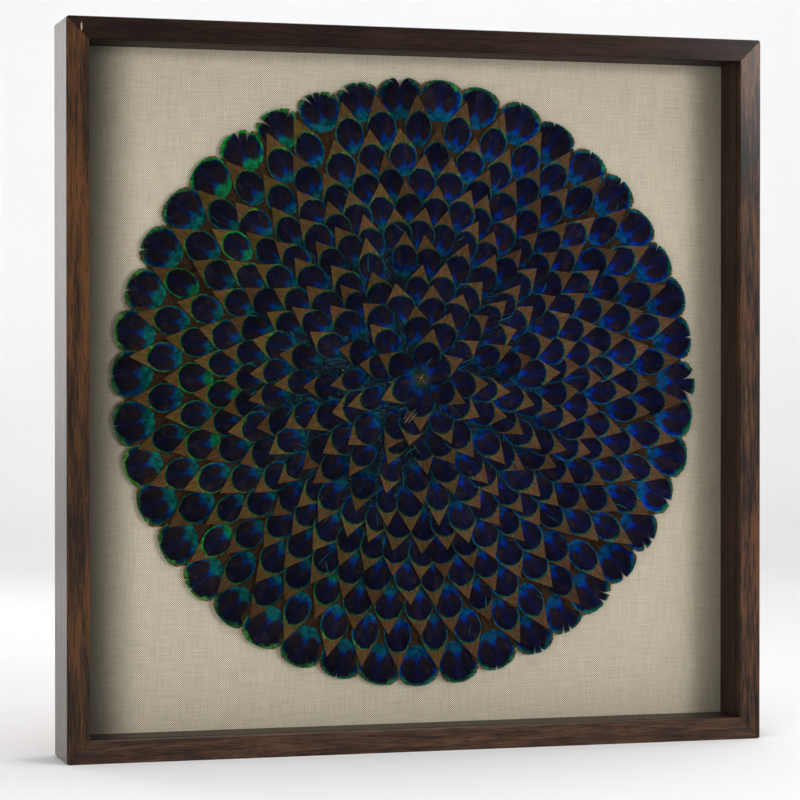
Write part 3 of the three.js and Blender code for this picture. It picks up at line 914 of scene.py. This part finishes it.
def finishSteel():
    bench = NodeBench("platedSteel")
    scratch = bench.noise(bench.place(scale=(60, 900, 900)), 1.0, 4.0, 0.7)
    colour = bench.blend(scratch, shade(*steel["dark"]), shade(*steel["light"]))
    gloss = bench.calc("ADD", steel["gloss"], bench.calc("MULTIPLY", scratch, steel["glossRange"]))
    bench.bump(scratch, steel["relief"], 0.1 * mm)
    material = bench.finish(Base_Color=colour, Roughness=gloss, Metallic=1.0)
    for name, node in nodes.items():
        if name.startswith(("point_", "hanger_")):
            giveMaterial(node, material)


finishBoards()
finishSteel()
print("boards and fittings finished")


# studio: pale floor that curves up into a backdrop, soft lights

studio = {
    "half": 4.0, "tableEdge": -3.4, "backdropDistance": 2.2,
    "rise": ((0.3, 0.04), (0.22, 0.18), (0.08, 0.35), (0, 4.0)),
    "floorTones": ((247, 247, 248), (250, 250, 251)),
    "world": 0.4, "worldFront": 0.32, "worldFade": (-0.75, 0.1), "gamma": 0.85,
}
lights = [
    # name, place, aim, size, power
    ("keyLeft", (-2.7, -3.5, 0.6), (0, 0, 0.35), (1.9, 1.6), 77),
    ("fillRight", (2.9, -3.2, 0.6), (0, 0, 0.35), (1.7, 1.6), 52),
    ("overhead", (0.2, -0.35, 2.5), (0, -0.2, 0.0), (2.4, 1.2), 33),
    ("railGlow", (1.66, -2.3, 1.0), (0.3, 0, 0.45), (0.75, 0.4), 20),
    ("sideGlow", (-1.1, 1.9, 0.6), (-0.45, 0.5, 0.0), (0.7, 0.8), 8),
    ("backdropWash", (2.2, 0.9, 2.4), (2.5, 2.3, 0.4), (2.2, 0.8), 12),
]


def makeStudio():
    deselectAll()
    half, back = studio["half"], studio["backdropDistance"]
    bpy.ops.mesh.primitive_plane_add(size=2 * half, location=(0, back - half, 0))
    floor = bpy.context.object
    floor.name = "studio_floor"
    for vertex in floor.data.vertices:
        vertex.co.y = max(vertex.co.y, studio["tableEdge"] - (back - half))
    bpy.ops.object.mode_set(mode="EDIT")
    bpy.ops.mesh.select_all(action="DESELECT")
    bpy.ops.mesh.select_mode(type="EDGE")
    bpy.ops.object.mode_set(mode="OBJECT")
    for edge in floor.data.edges:
        edge.select = all(floor.data.vertices[i].co.y > half - 0.01 for i in edge.vertices)
    bpy.ops.object.mode_set(mode="EDIT")
    for dy, dz in studio["rise"]:
        bpy.ops.mesh.extrude_region_move(TRANSFORM_OT_translate={"value": (0, dy, dz)})
    bpy.ops.object.mode_set(mode="OBJECT")
    bpy.ops.object.transform_apply(location=True)
    bpy.ops.object.shade_smooth_by_angle(angle=math.radians(60))
    bench = NodeBench("studioPaper")
    grain = bench.noise(bench.place(scale=(3, 3, 3)), 1.0, 2.0)
    colour = bench.blend(grain, *(shade(*tone) for tone in studio["floorTones"]))
    giveMaterial(floor, bench.finish(Base_Color=colour, Roughness=0.9))


def addLight(name, place, aim, size, power):
    data = bpy.data.lights.new(name, "AREA")
    data.shape = "RECTANGLE"
    data.size, data.size_y = size
    data.energy = power
    light = bpy.data.objects.new(name, data)
    light.location = place
    light.rotation_euler = (Vector(aim) - Vector(place)).to_track_quat("-Z", "Y").to_euler()
    scene.collection.objects.link(light)


def lightStudio():
    world = bpy.data.worlds.new("studioWorld")
    world.use_nodes = True
    # a pale room behind the object, a dimmer one on the camera's side
    tree = world.node_tree
    sky = tree.nodes["Background"]
    direction = tree.nodes.new("ShaderNodeTexCoord")
    split = tree.nodes.new("ShaderNodeSeparateXYZ")
    ramp = tree.nodes.new("ShaderNodeMapRange")
    ramp.interpolation_type = "SMOOTHSTEP"
    low, high = studio["worldFade"]
    for key, value in (("From Min", low), ("From Max", high), ("To Min", studio["worldFront"]),
                       ("To Max", studio["world"])):
        ramp.inputs[key].default_value = value
    tree.links.new(direction.outputs["Generated"], split.inputs[0])
    tree.links.new(split.outputs["Y"], ramp.inputs["Value"])
    tree.links.new(ramp.outputs[0], sky.inputs["Strength"])
    sky.inputs["Color"].default_value = (1, 1, 1, 1)
    scene.world = world
    for light in lights:
        addLight(*light)


makeStudio()
lightStudio()
scene.view_settings.view_transform = "Standard"
scene.view_settings.gamma = studio["gamma"]
print("studio lit")
